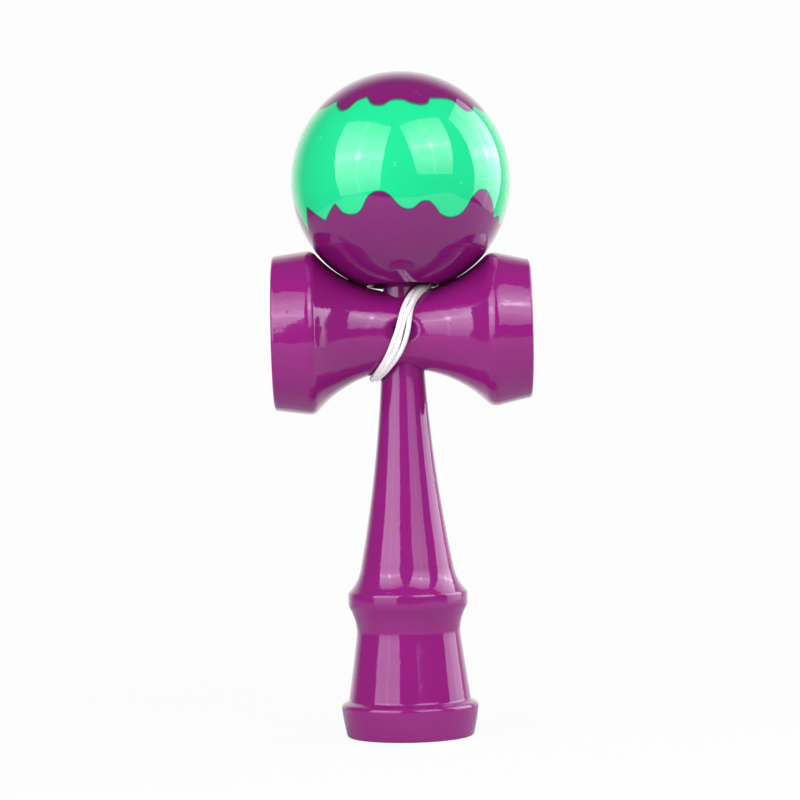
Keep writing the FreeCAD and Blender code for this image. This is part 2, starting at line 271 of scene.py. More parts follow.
def taper_radius(z):
    """Radius of the handle's taper at a height."""
    share = (z - TAPER_LOW[1]) / (TAPER_HIGH[1] - TAPER_LOW[1])
    return TAPER_LOW[0] + (TAPER_HIGH[0] - TAPER_LOW[0]) * share


def cross_radius(x):
    """Radius of the cross piece between its ridges, at a place along it."""
    return WAIST_R + FLARE_R - math.sqrt(FLARE_R**2 - (x - WAIST_SHIFT) ** 2)


# String

# The winding's first and last angle and the step between its points, in degrees
WINDING_START = 120
WINDING_END = 1320
WINDING_STEP = 15
# A turn's sway along the cross piece: once and three times round, and a shift at its top and bottom
SWEEP = 5.3
SWEEP_THIRD = 1.0
SWEEP_SHIFT = 0.7
# How far the string clears the wood
CORD_LIFT = 0.08
# Where the turns lie beside each other: an angle of the winding, a shift along the cross piece, a lift off it
LANES = [
    (90, -0.8, -0.6),
    (120, -0.9, -0.3),
    (150, -0.8, 0.0),
    (165, -0.5, 0.0),
    (180, -0.05, 0.0),
    (195, 0.1, 0.0),
    (210, 1.2, 0.0),
    (225, 2.75, 0.0),
    (270, 3.2, 0.0),
    (360, 2.5, 0.0),
    (390, 1.1, 0.0),
    (405, 0.8, 0.0),
    (420, 1.0, 0.0),
    (435, 1.4, 0.0),
    (450, 1.6, 0.1),
    (480, 1.2, 0.4),
    (495, 0.8, 0.7),
    (510, 0.3, 1.0),
    (525, -0.2, 1.0),
    (540, -0.3, 0.55),
    (555, -0.45, 0.65),
    (570, -0.2, 0.5),
    (585, 1.2, 0.1),
    (630, 1.6, 0.0),
    (720, 1.4, 0.0),
    (750, 0.8, 0.9),
    (765, 0.9, 1.0),
    (780, 0.7, 0.8),
    (795, 0.0, 0.4),
    (810, -0.25, 0.1),
    (840, -0.35, 0.6),
    (870, -0.7, 1.1),
    (885, -0.9, 0.5),
    (900, -1.0, 0.15),
    (915, -1.1, 0.0),
    (930, -1.1, 0.0),
    (945, -0.9, 0.0),
    (990, -0.1, 0.0),
    (1065, 0.0, 0.0),
    (1080, 0.45, 0.3),
    (1095, 0.1, 0.6),
    (1110, -0.6, 0.9),
    (1125, -0.85, 1.0),
    (1155, -1.0, 0.9),
    (1170, -1.2, 0.6),
    (1185, -1.75, 0.3),
    (1200, -1.8, 0.2),
    (1230, -1.5, 0.2),
    (1245, -1.5, 0.35),
    (1260, -1.5, 0.4),
    (1275, -2.0, 0.5),
    (1290, -2.2, 0.4),
    (1305, -2.0, 0.2),
    (1350, -1.8, 0.0),
]
# From the winding up behind the ball
FREE_POINTS = [
    (4.2, 16.2, 115.9),
    (3.7, 23.9, 129.4),
    (1.9, 30.0, 142.4),
    (0.8, 31.4, 154.0),
    (0.7, 28.4, 165.3),
    (0.5, 21.4, 174.5),
    (0.5, 11.3, 181.0),
]
# Over the ball's lip and down to the bead: up the ball's axis from its centre, and behind the axis
LIP_POINTS = [
    (30.6, 6.2),
    (30.75, 3.2),
    (30.0, 0.5),
    (27.0, 0.0),
    (22.0, 0.0),
    (13.0, 0.0),
    (7.4, 0.0),
]
# Out of the handle's string hole, with heights from CROSS_Z
HOLE_POINTS = [
    (0.0, -5.6, 0.0),
    (-0.1, -7.2, 0.1),
    (-0.3, -8.65, 0.1),
    (-0.6, -9.85, -1.0),
    (-0.9, -10.15, -2.9),
]
# The length of cord in which the braid's pattern comes again
BRAID_LENGTH = 1.6


def lane(angle):
    """How far along and how far out a turn lies there, from the places given for it."""
    for (low, *before), (high, *after) in zip(LANES, LANES[1:]):
        if angle <= high:
            share = (angle - low) / (high - low)
            share = share * share * (3 - 2 * share)
            return [a + (b - a) * share for a, b in zip(before, after)]


def winding_point(angle):
    """A place on the winding. 0 is over the cross piece, 90 in front of it and 180 below."""
    turn = math.radians(angle)
    shift, lift = lane(angle)
    sway = SWEEP * math.cos(turn) + SWEEP_THIRD * math.cos(3 * turn)
    x = sway + SWEEP_SHIFT * (math.sin(turn) ** 2 - 1) + shift
    radius = (cross_radius(x) + CORD_R + CORD_LIFT + lift) / math.cos(math.radians(WINDING_STEP / 2))
    return (x, -radius * math.sin(turn), WAIST_Z + radius * math.cos(turn))


def on_ball_axis(height, back):
    """A place that far up the ball's axis from its centre, and that far behind the axis."""
    y = height * math.sin(BALL_TILT) + back * math.cos(BALL_TILT)
    z = height * math.cos(BALL_TILT) - back * math.sin(BALL_TILT)
    return (BALL_X, y, BALL_Z + z)


def string_route():
    """From the handle's string hole, out and round the waist, up behind the ball and down into it."""
    points = [(x, y, CROSS_Z + z) for x, y, z in HOLE_POINTS]
    points += [winding_point(angle) for angle in range(WINDING_START, WINDING_END + 1, WINDING_STEP)]
    points += FREE_POINTS
    points += [on_ball_axis(height, back) for height, back in LIP_POINTS]
    return points


def spline_line(points, name):
    """A smooth curve with these control points."""
    data = bpy.data.curves.new(name, "CURVE")
    data.dimensions = "3D"
    data.resolution_u = 8
    spline = data.splines.new("NURBS")
    spline.points.add(len(points) - 1)
    for point, place in zip(spline.points, points):
        point.co = (*(Vector(place) * MM), 1.0)
    spline.order_u = 3
    spline.use_endpoint_u = True
    line = bpy.data.objects.new(name, data)
    bpy.context.scene.collection.objects.link(line)
    return line


def path_of(line):
    """The points that a curve without thickness runs through."""
    mesh = bpy.data.meshes.new_from_object(line)
    path = [vertex.co.copy() for vertex in mesh.vertices]
    bpy.data.meshes.remove(mesh)
    return path


def measure_along(string, path):
    """Makes the U of the string's UV map its length from the start, in metres."""
    run = [0.0]
    for before, after in zip(path, path[1:]):
        run.append(run[-1] + (after - before).length)
    for corner in string.data.uv_layers[0].data:
        corner.uv.x = run[round(corner.uv.x * (len(path) - 1))]


def make_string():
    """The whole string as one tube, from the handle's hole to the bead in the ball."""
    line = spline_line(string_route(), "string")
    path = path_of(line)
    line.data.bevel_depth = CORD_R * MM
    line.data.bevel_resolution = 4
    line.data.use_fill_caps = True
    alone(line)
    bpy.ops.object.convert(target="MESH")
    string = bpy.context.object
    bpy.ops.object.shade_smooth()
    measure_along(string, path)
    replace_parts(string, "string_winding", "string_free", "string_ball_end")
    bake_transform(string)
    return string


string = make_string()


# Turned wooden pieces


def make_handle():
    """Base cup, flange, cone, collar, stem, taper and spike, as radii and heights from the base up."""
    cup_lip, base_edge, brim = (15.2, 0.0), (17.2, 0.0), (18.75, 8.9)
    base_cup = arc((0.0, 7.0), (8.4, 5.15), cup_lip, 30)
    base_side = arc(base_edge, (18.06, 3.9), brim, 8)
    ledge_foot = (16.62, 9.95)
    crease = (14.25, 27.6)
    neck = arc((14.17, 28.9), (14.87, 32.6), (16.36, 35.75), 16)
    band_low, band_top = (16.37, 35.9), (16.37, 39.3)
    stem_foot = (12.55, 46.9)
    cove = drawn_curve(band_top, (13.2, 42.2), stem_foot, 20)
    stem = arc(stem_foot, (8.53, 72.0), TAPER_LOW, 40)
    tip = arc((2.6, 152.9), (1.85, 154.75), (0.0, 155.5), 10)
    outline = base_cup + base_side + [ledge_foot, (16.5, 10.7), crease] + neck + [band_low]
    outline += cove + stem[1:] + [TAPER_HIGH] + tip
    eased = [
        (cup_lip, 0.5),
        (base_edge, 0.6),
        (brim, 0.95),
        (ledge_foot, 0.5),
        (crease, 0.8),
        (band_low, 0.6),
        (band_top, 0.6),
    ]
    handle = turned("turned_handle", soften(outline, eased))
    shank_r = taper_radius(CROSS_Z)
    cut(handle, drill(SHANK_HOLE_R, -2 * shank_r, 2 * shank_r, "Y"))
    cut(handle, drill(KNOT_SEAT_R, shank_r - KNOT_SEAT_DEPTH, 2 * shank_r, "Y"))
    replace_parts(smooth(handle), "handle")
    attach(handle, "handle")
    return handle


def make_cross():
    """Cups and waist, as places along the piece and radii, then the bore, the dish and the string hole."""
    large, small = ((x, cross_radius(x)) for x in RIDGES)
    large_lip, large_rim = (-HALF_CROSS, 19.2), (-HALF_CROSS, 21.05)
    small_rim, small_lip = (HALF_CROSS, 18.9), (HALF_CROSS, 17.2)
    large_cup = arc((-HALF_CROSS + LARGE_CUP_DEPTH, 0.0), (-28.55, 10.8), large_lip, 30)
    small_cup = arc(small_lip, (29.75, 9.7), (HALF_CROSS - SMALL_CUP_DEPTH, 0.0), 30)
    large_side = arc(large_rim, (-29.6, 21.84), large, 12)
    small_side = arc(small, (29.6, 20.1), small_rim, 12)
    waist = arc(large, (WAIST_SHIFT, WAIST_R), small, 70)
    outline = large_cup + large_side + waist[1:-1] + small_side + small_cup
    eased = [
        (large_lip, 0.6),
        (large_rim, 0.8),
        (large, 1.7),
        (small, 2.4),
        (small_rim, 0.8),
        (small_lip, 0.6),
    ]
    along = [(r, x) for x, r in soften(outline, eased)]
    cross = turned("turned_cross", along)
    put(cross, (0, 0, WAIST_Z), math.radians(90), "Y")
    low, top = CROSS_Z - 2 * WAIST_R, CROSS_Z + 2 * WAIST_R
    cut(cross, drill(taper_radius(low) + BORE_PLAY, low, top, "Z", taper_radius(top) + BORE_PLAY))
    mouth_z = CROSS_Z + WAIST_R - BORE_MOUTH_DEPTH
    cut(cross, drill(taper_radius(mouth_z) + BORE_MOUTH_PLAY, mouth_z, top, "Z"))
    deselect()
    bpy.ops.mesh.primitive_uv_sphere_add(
        segments=DISH_STEPS,
        ring_count=DISH_STEPS // 2,
        radius=DISH_SPHERE_R * MM,
        location=(0, 0, 0),
    )
    cut(cross, put(bpy.context.object, DISH_CENTRE))
    cut(cross, drill(CROSS_HOLE_R, -2 * WAIST_R, 0.0, "Y"))
    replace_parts(smooth(cross), "cross_piece")
    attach(cross, "cross_piece")
    return cross


def swollen(point):
    """A point of the ball's outline, pushed out below its middle as far as the waist allows."""
    below = math.degrees(math.atan2(-point[1], point[0]))
    rise = min(max((below - SWELL_START) / (SWELL_FULL - SWELL_START), 0.0), 1.0)
    swell = BALL_SWELL * rise * rise * (3 - 2 * rise)
    if below > SWELL_FULL:
        for _ in range(4):
            x, z = (c * (1 + swell / BALL_R) for c in point)
            room = BALL_Z + z - WAIST_Z - max(cross_radius(BALL_X - x), cross_radius(BALL_X + x))
            swell = min(swell + room, BALL_SWELL)
    return tuple(c * (1 + swell / BALL_R) for c in point)


def make_ball():
    """The ball with its spike hole and its rounded string hole, leaning back on the spike."""
    mouth = (BALL_MOUTH_R, -math.sqrt(BALL_R**2 - BALL_MOUTH_R**2))
    hole_low, hole_high = (BALL_HOLE_R, mouth[1] + BALL_MOUTH_DEPTH), (BALL_HOLE_R, BALL_HOLE_TOP)
    lip_x = BALL_STRING_HOLE_R + BALL_LIP_R
    lip_z = math.sqrt((BALL_R - BALL_LIP_R) ** 2 - lip_x**2)
    lip_turn = math.atan2(lip_x, lip_z)
    lip_out = (lip_x + BALL_LIP_R * math.sin(lip_turn), lip_z + BALL_LIP_R * math.cos(lip_turn))
    quarter = (math.pi / 2 + lip_turn) / 2
    lip_mid = (lip_x - BALL_LIP_R * math.cos(quarter), lip_z + BALL_LIP_R * math.sin(quarter))
    cone_height = (BALL_HOLE_R - BALL_STRING_HOLE_R) / math.tan(DRILL_POINT)
    cone_top = (BALL_STRING_HOLE_R, BALL_HOLE_TOP + cone_height)
    outside = [swollen(point) for point in arc(mouth, (BALL_R, 0.0), lip_out, 150)]
    lip = arc(lip_out, lip_mid, (BALL_STRING_HOLE_R, lip_z), 10)
    outline = [hole_high, hole_low] + outside + lip[1:] + [cone_top, hole_high]
    ball = turned("turned_ball", soften(outline, [(outside[0], 0.3), (hole_low, 0.4)]), BALL_STEPS)
    put(ball, (BALL_X, 0, BALL_Z), -BALL_TILT)
    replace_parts(smooth(ball), "ball")
    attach(ball, "ball")
    return ball


handle = make_handle()
cross = make_cross()
ball = make_ball()


# Finishes

PURPLE = (0.254, 0.009, 0.156)
CROSS_PURPLE = tuple(c * 1.04 for c in PURPLE)
BALL_PURPLE = (0.188, 0.006, 0.122)
GREEN = (0.011, 0.662, 0.232)
EDGE = (0.040, 0.020, 0.040)
WOOD = (0.300, 0.195, 0.095)
# The string's white, and its greyer tone, which stands for the uneven fibre and for painted shade in the
# braid's grooves
STRING_WHITE = (0.920, 0.920, 0.840)
STRING_GREY_AND_GROOVE_SHADE = (0.820, 0.810, 0.725)
# Painted borders of the ball: degrees round it from its front towards +X, and heights from its centre
CAP_BORDER = [
    (-180, 20.0), (-166, 21.7), (-151, 18.8), (-139, 21.0), (-124, 19.8), (-110, 21.6),
    (-97, 18.3), (-82, 20.8), (-65, 19.6), (-50.5, 21.2), (-43, 18.8), (-38.4, 18.2),
    (-29.6, 20.9), (-23.9, 21.6), (-13, 19.0), (-4.2, 20.5), (1.9, 20.5), (8.1, 19.5),
    (15.7, 19.0), (22.5, 20.9), (38.9, 20.6), (47.9, 17.5), (59.6, 19.4), (71.2, 18.1),
    (86, 20.9), (101, 18.9), (117, 21.4), (133, 18.4), (148, 20.9), (163, 19.3),
    (180, 20.0),
]
LOW_BORDER = [
    (-180, -7.0), (-168, -10.8), (-154, -5.2), (-141, -8.9), (-128, -11.6), (-113, -5.8),
    (-99, -10.2), (-84, -6.2), (-68.6, -14.2), (-60.3, -7.3), (-46.6, -11.4), (-37.1, -7.0),
    (-27.2, -10.2), (-16.3, -5.2), (-10.8, -4.4), (4.0, -9.2), (12.7, -7.1), (17.5, -8.3),
    (23.0, -10.9), (28.8, -11.4), (40.8, -5.7), (47.4, -4.0), (53.1, -5.4), (62.3, -11.4),
    (67.8, -10.7), (76.4, -12.8), (90, -5.6), (104, -10.4), (118, -6.6), (134, -11.8),
    (149, -5.5), (165, -9.4), (180, -7.0),
]
# Degrees where a border comes to a point
SHARP_CORNERS = (-68.6, -60.3, -46.6, -37.1, 62.3, -50.5, -23.9, 22.5, 59.6)
# Both borders lie within this height of the ball's centre
BORDER_REACH = 24.0
# How far the paint's edge blurs to each side, and the dark line along each border: its shift, reach and share
PAINT_EDGE = 0.12
LOW_LINE_SHIFT, LOW_LINE_REACH, LOW_LINE_SHARE = 0.03, 0.45, 0.85
CAP_LINE_SHIFT, CAP_LINE_REACH, CAP_LINE_SHARE = 0.12, 0.70, 0.8
# Specks of dust: places and radii
BALL_SPECKS = [
    (-20.6, -18.3, 162.3, 0.4),
    (-0.9, -29.8, 154.4, 0.35),
    (-0.9, -29.9, 153.6, 0.35),
    (5.2, -19.4, 173.8, 0.3),
    (6.0, -20.1, 173.0, 0.3),
    (11.7, -13.9, 175.5, 0.25),
    (16.4, -25.3, 148.9, 0.3),
    (27.1, -11.3, 143.4, 0.3),
    (-24.0, 9.0, 166.5, 0.3),
    (9.5, 27.0, 160.0, 0.35),
    (21.0, 18.0, 139.5, 0.3),
]
HANDLE_SPECKS = [
    (-2.9, -6.6, 86.8, 0.45),
    (3.5, -6.3, 84.0, 0.25),
    (-6.0, -13.6, 22.0, 0.3),
    (4.0, 9.3, 60.0, 0.35),
]
CROSS_SPECKS = [
    (-30.5, -21.0, 116.0, 0.4),
    (13.0, -13.0, 112.0, 0.3),
    (29.5, -19.5, 107.0, 0.3),
    (-14.0, 12.0, 118.0, 0.35),
]
SPECK_HEIGHT = 0.1
# The lacquer's slow waves, its ripples along the grain, its grit and its dents: noise scales and heights
WAVE_SCALE, WAVE_HEIGHT, BALL_WAVE_HEIGHT = 70.0, 0.10, 0.06
RIPPLE_SCALE, HANDLE_RIPPLE, CROSS_RIPPLE = 500.0, 0.04, 0.07
GRIT_SCALE, GRIT_HEIGHT = 1400.0, 0.008
DENT_SCALE, DENT_DEPTH = 62.0, 0.04
# How much the grain is drawn out along each piece
HANDLE_GRAIN = (1.0, 1.0, 0.12)
CROSS_GRAIN = (0.25, 1.0, 1.0)
# The rounded edge of the dish about the string hole
DISH_LIP_WIDTH, DISH_LIP_DROP = 0.4, 0.12
# How far the paint reaches into the ball's holes
PAINT_REACH = 0.4
# The cross piece's taper bore: a radius past its own, how upright its walls are at least,
# and the places behind and beside the string hole, which opens into it
BORE_REACH = 6.7
LEAST_UPRIGHT = 0.9
BEHIND_HOLE = -5.0
BESIDE_HOLE = 2.6


class Nodes:
    """Adds nodes to one material and links them."""

    def __init__(self, name):
        self.material = bpy.data.materials.new(name)
        self.material.use_nodes = True
        self.tree = self.material.node_tree
        self.shader = self.tree.nodes["Principled BSDF"]

    def add(self, kind, inputs=(), **settings):
        """A new node with these inputs, which are values or other nodes' outputs."""
        node = self.tree.nodes.new(kind)
        for key, value in settings.items():
            setattr(node, key, value)
        for key, value in dict(inputs).items():
            self.feed(node.inputs[key], value)
        return node

    def feed(self, socket, value):
        """Links an output to an input, or sets the input to a value."""
        if isinstance(value, bpy.types.NodeSocket):
            self.tree.links.new(value, socket)
        else:
            socket.default_value = value

    def math(self, operation, *values):
        return self.add("ShaderNodeMath", enumerate(values), operation=operation).outputs[0]

    def mix(self, share, first, second):
        node = self.add("ShaderNodeMix", data_type="RGBA")
        self.feed(node.inputs[0], share)
        for socket, value in ((node.inputs[6], first), (node.inputs[7], second)):
            self.feed(socket, value if isinstance(value, bpy.types.NodeSocket) else (*value, 1.0))
        return node.outputs[2]

    def noise(self, vector, scale, detail):
        inputs = {"Vector": vector, "Scale": scale, "Detail": detail}
        return self.add("ShaderNodeTexNoise", inputs).outputs["Fac"]

    def ease(self, value, low, high):
        """Rises smoothly from 0 at low to 1 at high."""
        inputs = {"Value": value, "From Min": low, "From Max": high}
        return self.add("ShaderNodeMapRange", inputs, interpolation_type="SMOOTHSTEP").outputs[0]

    def bump(self, height, distance, normal=None):
        """The surface's direction, with a relief of that many millimetres on top of the one before."""
        inputs = {"Height": height, "Distance": distance * MM, "Strength": 1.0}
        if normal is not None:
            inputs["Normal"] = normal
        return self.add("ShaderNodeBump", inputs).outputs[0]


def lacquer_surface(nodes, normal, haze, under_gloss, clear_haze):
    """Thick sprayed lacquer: a hard clear gloss on a hazier coloured coat."""
    shader = nodes.shader
    shader.inputs["Roughness"].default_value = haze
    shader.inputs["Specular IOR Level"].default_value = under_gloss
    shader.inputs["IOR"].default_value = 1.5
    shader.inputs["Coat Weight"].default_value = 1.0
    shader.inputs["Coat Roughness"].default_value = clear_haze
    shader.inputs["Coat IOR"].default_value = 1.53
    nodes.feed(shader.inputs["Normal"], normal)
    nodes.feed(shader.inputs["Coat Normal"], normal)


def specks(nodes, place, spots, normal):
    """Specks of dust under the lacquer: each is a place and a radius."""
    raised = 0.0
    for x, y, z, radius in spots:
        spot = tuple(c * MM for c in (x, y, z))
        off = nodes.add("ShaderNodeVectorMath", {0: place, 1: spot}, operation="DISTANCE").outputs["Value"]
        raised = nodes.math("MAXIMUM", raised, nodes.ease(off, radius * MM, 0.0))
    return nodes.bump(raised, SPECK_HEIGHT, normal)


def lacquer(name, colour, grain, ripple, spots, dished=False):
    """Lacquer over turned wood: slow waves, faint ripples along the grain, fine grit and dents."""
    nodes = Nodes(name)
    place = nodes.add("ShaderNodeTexCoord").outputs["Object"]
    cloud = nodes.noise(place, WAVE_SCALE, 3.0)
    deep = tuple(c * 0.92 for c in colour)
    nodes.feed(nodes.shader.inputs["Base Color"], nodes.mix(cloud, deep, colour))
    along = nodes.add("ShaderNodeMapping", {"Vector": place, "Scale": grain}).outputs[0]
    normal = nodes.bump(nodes.noise(place, WAVE_SCALE, 1.0), WAVE_HEIGHT)
    normal = nodes.bump(nodes.noise(along, RIPPLE_SCALE, 2.0), ripple, normal)
    normal = nodes.bump(nodes.noise(place, GRIT_SCALE, 2.0), GRIT_HEIGHT, normal)
    dents = nodes.add("ShaderNodeTexVoronoi", {"Vector": place, "Scale": DENT_SCALE}).outputs["Distance"]
    normal = nodes.bump(nodes.ease(dents, 0.0, 0.05), DENT_DEPTH, normal)
    if dished:
        normal = nodes.bump(dish_lip(nodes, place), DISH_LIP_DROP, normal)
    normal = specks(nodes, place, spots, normal)
    lacquer_surface(nodes, normal, haze=0.14, under_gloss=0.06, clear_haze=0.045)
    return nodes.material


def dish_lip(nodes, place):
    """Low at the rim of the dish about the string hole, where the lacquer rounds its edge."""
    centre = tuple(c * MM for c in DISH_CENTRE)
    off = nodes.add("ShaderNodeVectorMath", {0: place, 1: centre}, operation="DISTANCE").outputs["Value"]
    return nodes.ease(off, DISH_SPHERE_R * MM, (DISH_SPHERE_R + DISH_LIP_WIDTH) * MM)


def border_height(nodes, turn, border):
    """Height of a painted border at each turn round the ball, eased through its points."""
    curve = nodes.add("ShaderNodeFloatCurve", {"Factor": 1.0, "Value": turn})
    points = curve.mapping.curves[0].points
    span = 2 * BORDER_REACH
    shares = [((degrees + 180) / 360, (height + BORDER_REACH) / span) for degrees, height in border]
    points[0].location, points[1].location = shares[0], shares[-1]
    for share in shares[1:-1]:
        points.new(*share)
    for point, (degrees, _) in zip(points, border):
        point.handle_type = "VECTOR" if degrees in SHARP_CORNERS else "AUTO"
    curve.mapping.update()
    scaled = nodes.math("MULTIPLY", curve.outputs[0], span * MM)
    return nodes.math("SUBTRACT", scaled, BORDER_REACH * MM)


def ball_paint():
    """Green with a purple cap and bottom that meet it in drips, each with a dark soft edge."""
    nodes = Nodes("ball_paint")
    place = nodes.add("ShaderNodeTexCoord").outputs["Object"]
    to_centre = (-BALL_X * MM, 0, -BALL_Z * MM)
    centred = nodes.add("ShaderNodeMapping", {"Vector": place, "Location": to_centre}).outputs[0]
    split = nodes.add("ShaderNodeSeparateXYZ", {"Vector": centred}).outputs
    turn = nodes.math("ARCTAN2", split["X"], nodes.math("MULTIPLY", split["Y"], -1.0))
    turn = nodes.math("ADD", nodes.math("DIVIDE", turn, math.tau), 0.5)
    above = nodes.math("SUBTRACT", split["Z"], border_height(nodes, turn, CAP_BORDER))
    below = nodes.math("SUBTRACT", border_height(nodes, turn, LOW_BORDER), split["Z"])
    inside = nodes.math("MAXIMUM", above, below)
    paint = nodes.ease(inside, -PAINT_EDGE * MM, PAINT_EDGE * MM)
    from_low = nodes.math("ABSOLUTE", nodes.math("ADD", below, LOW_LINE_SHIFT * MM))
    low_line = nodes.ease(from_low, LOW_LINE_REACH * MM, 0.0)
    from_cap = nodes.math("ABSOLUTE", nodes.math("ADD", above, CAP_LINE_SHIFT * MM))
    cap_line = nodes.ease(from_cap, CAP_LINE_REACH * MM, 0.0)
    low_line = nodes.math("MULTIPLY", low_line, LOW_LINE_SHARE)
    cap_line = nodes.math("MULTIPLY", cap_line, CAP_LINE_SHARE)
    line = nodes.math("MAXIMUM", low_line, cap_line)
    colour = nodes.mix(line, nodes.mix(paint, GREEN, BALL_PURPLE), EDGE)
    nodes.feed(nodes.shader.inputs["Base Color"], colour)
    normal = nodes.bump(nodes.noise(place, WAVE_SCALE, 1.0), BALL_WAVE_HEIGHT)
    normal = specks(nodes, place, BALL_SPECKS, normal)
    lacquer_surface(nodes, normal, haze=0.06, under_gloss=0.12, clear_haze=0.02)
    return nodes.material


def bare_wood():
    """Turned wood without lacquer, with its grain upright."""
    nodes = Nodes("bare_wood")
    place = nodes.add("ShaderNodeTexCoord").outputs["Object"]
    long_way = nodes.add("ShaderNodeMapping", {"Vector": place, "Scale": HANDLE_GRAIN}).outputs[0]
    grain = nodes.noise(long_way, 900.0, 4.0)
    dark = tuple(c * 0.6 for c in WOOD)
    nodes.feed(nodes.shader.inputs["Base Color"], nodes.mix(grain, dark, WOOD))
    nodes.shader.inputs["Roughness"].default_value = 0.6
    nodes.feed(nodes.shader.inputs["Normal"], nodes.bump(grain, 0.08))
    return nodes.material


def cord_fibre(name, braided):
    """White cord of fine fibre: a close braid of eight strands where a UV map runs along it, with painted
    shade in the braid's grooves.
    """
    nodes = Nodes(name)
    coords = nodes.add("ShaderNodeTexCoord").outputs
    fibres_and_groove_shade = nodes.noise(coords["Object"], 2600.0, 2.0)
    normal = nodes.bump(fibres_and_groove_shade, 0.04)
    if braided:
        split = nodes.add("ShaderNodeSeparateXYZ", {"Vector": coords["UV"]}).outputs
        along = nodes.math("MULTIPLY", split["X"], math.pi / (BRAID_LENGTH * MM))
        around = nodes.math("MULTIPLY", split["Y"], math.pi * 4)
        one_way = nodes.math("SINE", nodes.math("ADD", along, around))
        other_way = nodes.math("SINE", nodes.math("SUBTRACT", along, around))
        crowns = nodes.math("ABSOLUTE", nodes.math("MULTIPLY", one_way, other_way))
        # Painted shade: the grooves between the braid's crowns are coloured darker, on top of the uneven tone
        # of the fibre
        fibres_and_groove_shade = nodes.math("ADD", nodes.math("MULTIPLY", fibres_and_groove_shade, 0.5), nodes.ease(crowns, 0.0, 0.9))
        normal = nodes.bump(crowns, 0.05, normal)
    nodes.feed(nodes.shader.inputs["Base Color"], nodes.mix(fibres_and_groove_shade, STRING_GREY_AND_GROOVE_SHADE, STRING_WHITE))
    nodes.shader.inputs["Roughness"].default_value = 0.45
    nodes.shader.inputs["Sheen Weight"].default_value = 0.3
    nodes.feed(nodes.shader.inputs["Normal"], normal)
    return nodes.material


def finish_with(piece, *materials):
    """Gives a piece these materials and no others."""
    piece.data.materials.clear()
    for material in materials:
        piece.data.materials.append(material)


def inside_faces(piece, is_inside):
    """Gives a piece's second material to the faces that pass a test."""
    for face in piece.data.polygons:
        if is_inside(face):
            face.material_index = 1


def in_ball_hole(face):
    """True on the walls of the ball's holes, past the reach of the paint."""
    from_centre = face.center / MM - Vector((BALL_X, 0, BALL_Z))
    return from_centre.length < BALL_R - PAINT_REACH


def in_taper_bore(face):
    """True on the walls of the taper bore, and not in the string hole and its dish."""
    middle = face.center / MM
    near = math.hypot(middle.x, middle.y) < BORE_REACH and abs(middle.z - CROSS_Z) < WAIST_R
    if near and math.hypot(face.normal.x, face.normal.y) > LEAST_UPRIGHT:
        return middle.y > BEHIND_HOLE or abs(middle.x) > BESIDE_HOLE
    return False


purple_handle = lacquer("handle_lacquer", PURPLE, HANDLE_GRAIN, HANDLE_RIPPLE, HANDLE_SPECKS)
purple_cross = lacquer("cross_lacquer", CROSS_PURPLE, CROSS_GRAIN, CROSS_RIPPLE, CROSS_SPECKS, dished=True)
wood = bare_wood()
fibre = cord_fibre("cord_fibre", braided=True)
knot_fibre = cord_fibre("knot_fibre", braided=False)
finish_with(handle, purple_handle)
finish_with(cross, purple_cross, wood)
finish_with(ball, ball_paint(), wood)
finish_with(string, fibre)
inside_faces(ball, in_ball_hole)
inside_faces(cross, in_taper_bore)
for node, material in (("bead", wood), ("string_anchor", knot_fibre)):
    finish_with(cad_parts[node], material)


# Studio

SOFTBOX_STRENGTH = 3.2
SOFTBOX_TINT = (1.0, 0.97, 1.12)
SOFTBOX_DISTANCE = 900.0
# The even part of a softbox's light
SOFTBOX_EVEN = 0.45
ROOM_FILL = 0.06
ROOM_GLOSS = 0.12
# How far back a direction points where the white behind the object starts and is full, as seen in gloss
WHITE_BEHIND = (0.5, 0.9)
FLOOR_PLACE = (0, 50, -0.2)
FLOOR_TONE = 0.8
FLOOR_GLOSS = 0.55
# The floor to the eye: its tone, the share of plain white laid over it, and the metres from the part
# over which that share grows to the whole
FLOOR_SEEN = 0.95
FLOOR_WHITE = 0.95
FLOOR_FADE = (0.12, 0.34)
PAPER_WHITE = 0.982


